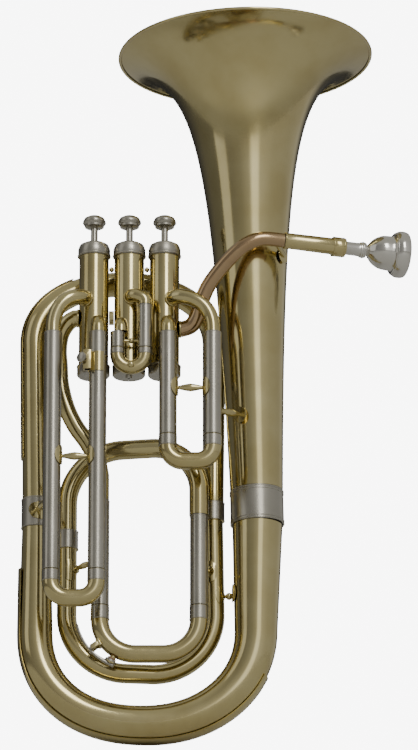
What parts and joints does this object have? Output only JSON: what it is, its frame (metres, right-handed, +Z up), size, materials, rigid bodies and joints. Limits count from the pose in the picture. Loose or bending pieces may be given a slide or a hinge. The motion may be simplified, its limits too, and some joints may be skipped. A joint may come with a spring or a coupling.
{
  "type": "baritone horn",
  "caption": "Upright valved brass horn with a flared bell, wrapped conical tubing, piston valves, pull slides, a water key, a lyre holder and a removable cup mouthpiece.",
  "frame": {"origin": "lowest point of the bottom bow's guard, in the horn's mid plane, under the middle of the bow", "axes": "+Z up along the bell, +X to the bell's side, +Y away from the valve slides"},
  "size_m": [0.3647, 0.2406, 0.6807],
  "materials": {
    "lacquered_brass": "polished, clear lacquered",
    "nickel_silver": "polished nickel silver",
    "silver_plate": "polished silver plate",
    "rose_brass": "polished, clear lacquered rose brass",
    "spring_steel": "drawn wire",
    "cork": "matt natural cork"
  },
  "bodies": {
    "horn": {"bell": "lacquered_brass", "bell_brace_lower": "lacquered_brass", "bell_brace_upper": "lacquered_brass", "bell_ferrule": "nickel_silver", "bottom_bow": "lacquered_brass", "bottom_cap_1": "nickel_silver", "bottom_cap_2": "nickel_silver", "bottom_cap_3": "nickel_silver", "bottom_guard": "lacquered_brass", "exit_tube": "lacquered_brass", "inner_loop": "lacquered_brass", "leadpipe": "rose_brass", "leadpipe_brace": "lacquered_brass", "left_ferrule": "nickel_silver", "loop_brace": "lacquered_brass", "lyre_holder": "lacquered_brass", "receiver": "lacquered_brass", "slide_1_crook": "lacquered_brass", "slide_1_elbow": "lacquered_brass", "slide_1_sleeves": "nickel_silver", "slide_2_crook": "lacquered_brass", "slide_2_elbow": "lacquered_brass", "slide_2_sleeves": "nickel_silver", "slide_3_crook": "lacquered_brass", "slide_3_elbow": "lacquered_brass", "slide_3_sleeves": "nickel_silver", "top_bow": "lacquered_brass", "top_cap_1": "nickel_silver", "top_cap_2": "nickel_silver", "top_cap_3": "nickel_silver", "top_guard": "lacquered_brass", "tuning_arch": "lacquered_brass", "tuning_brace": "lacquered_brass", "tuning_sleeve_left": "nickel_silver", "tuning_sleeve_right": "nickel_silver", "valve_brace_12": "lacquered_brass", "valve_brace_23": "lacquered_brass", "valve_casing_1": "lacquered_brass", "valve_casing_2": "lacquered_brass", "valve_casing_3": "lacquered_brass", "valve_link_12": "lacquered_brass", "valve_link_23": "lacquered_brass", "valve_spring_1": "spring_steel", "valve_spring_2": "spring_steel", "valve_spring_3": "spring_steel"},
    "piston_1_body": {"piston_1": "nickel_silver", "finger_button_1": "nickel_silver"},
    "piston_2_body": {"piston_2": "nickel_silver", "finger_button_2": "nickel_silver"},
    "piston_3_body": {"piston_3": "nickel_silver", "finger_button_3": "nickel_silver"},
    "slide_1_body": {"slide_1_bow": "lacquered_brass"},
    "slide_2_body": {"slide_2_bow": "lacquered_brass"},
    "slide_3_body": {"slide_3_bow": "lacquered_brass"},
    "tuning_body": {"tuning_slide": "lacquered_brass", "water_key_spring": "spring_steel"},
    "water_key_body": {"water_key": "nickel_silver", "water_key_cork": "cork"},
    "mouthpiece_body": {"mouthpiece": "silver_plate"},
    "lyre_screw_body": {"lyre_screw": "nickel_silver"}
  },
  "joints": [
    {"name": "valve_1_press", "type": "slide", "parent": "horn", "child": "piston_1_body", "axis": [0, 0, -1], "range_m": [0, 0.015], "stiffness_N_per_m": 100, "springref_m": -0.016, "deforming": ["valve_spring_1"]},
    {"name": "valve_2_press", "type": "slide", "parent": "horn", "child": "piston_2_body", "axis": [0, 0, -1], "range_m": [0, 0.015], "stiffness_N_per_m": 100, "springref_m": -0.016, "deforming": ["valve_spring_2"]},
    {"name": "valve_3_press", "type": "slide", "parent": "horn", "child": "piston_3_body", "axis": [0, 0, -1], "range_m": [0, 0.015], "stiffness_N_per_m": 100, "springref_m": -0.016, "deforming": ["valve_spring_3"]},
    {"name": "slide_1_pull", "type": "slide", "parent": "horn", "child": "slide_1_body", "axis": [0, 0, -1], "range_m": [0, 0.06]},
    {"name": "slide_2_pull", "type": "slide", "parent": "horn", "child": "slide_2_body", "axis": [0, 0, -1], "range_m": [0, 0.012]},
    {"name": "slide_3_pull", "type": "slide", "parent": "horn", "child": "slide_3_body", "axis": [0, 0, -1], "range_m": [0, 0.09]},
    {"name": "tuning_pull", "type": "slide", "parent": "horn", "child": "tuning_body", "axis": [0, 0, -1], "range_m": [0, 0.028]},
    {"name": "water_key_press", "type": "hinge", "parent": "tuning_body", "child": "water_key_body", "pos_m": [-0.04919, -0.018, 0.08636], "axis": [0, 1, 0], "range_deg": [0, 15], "stiffness_Nm_per_rad": 0.02, "springref_deg": -17.19},
    {"name": "mouthpiece_pull", "type": "slide", "parent": "horn", "child": "mouthpiece_body", "axis": [0.9655, 0.2587, -0.03], "range_m": [0, 0.022]},
    {"name": "lyre_screw_turn", "type": "hinge", "parent": "horn", "child": "lyre_screw_body", "pos_m": [-0.0542, -0.0621, 0.34975], "axis": [-0.5524, -0.8336, 0], "range_deg": [0, 360]}
  ]
}
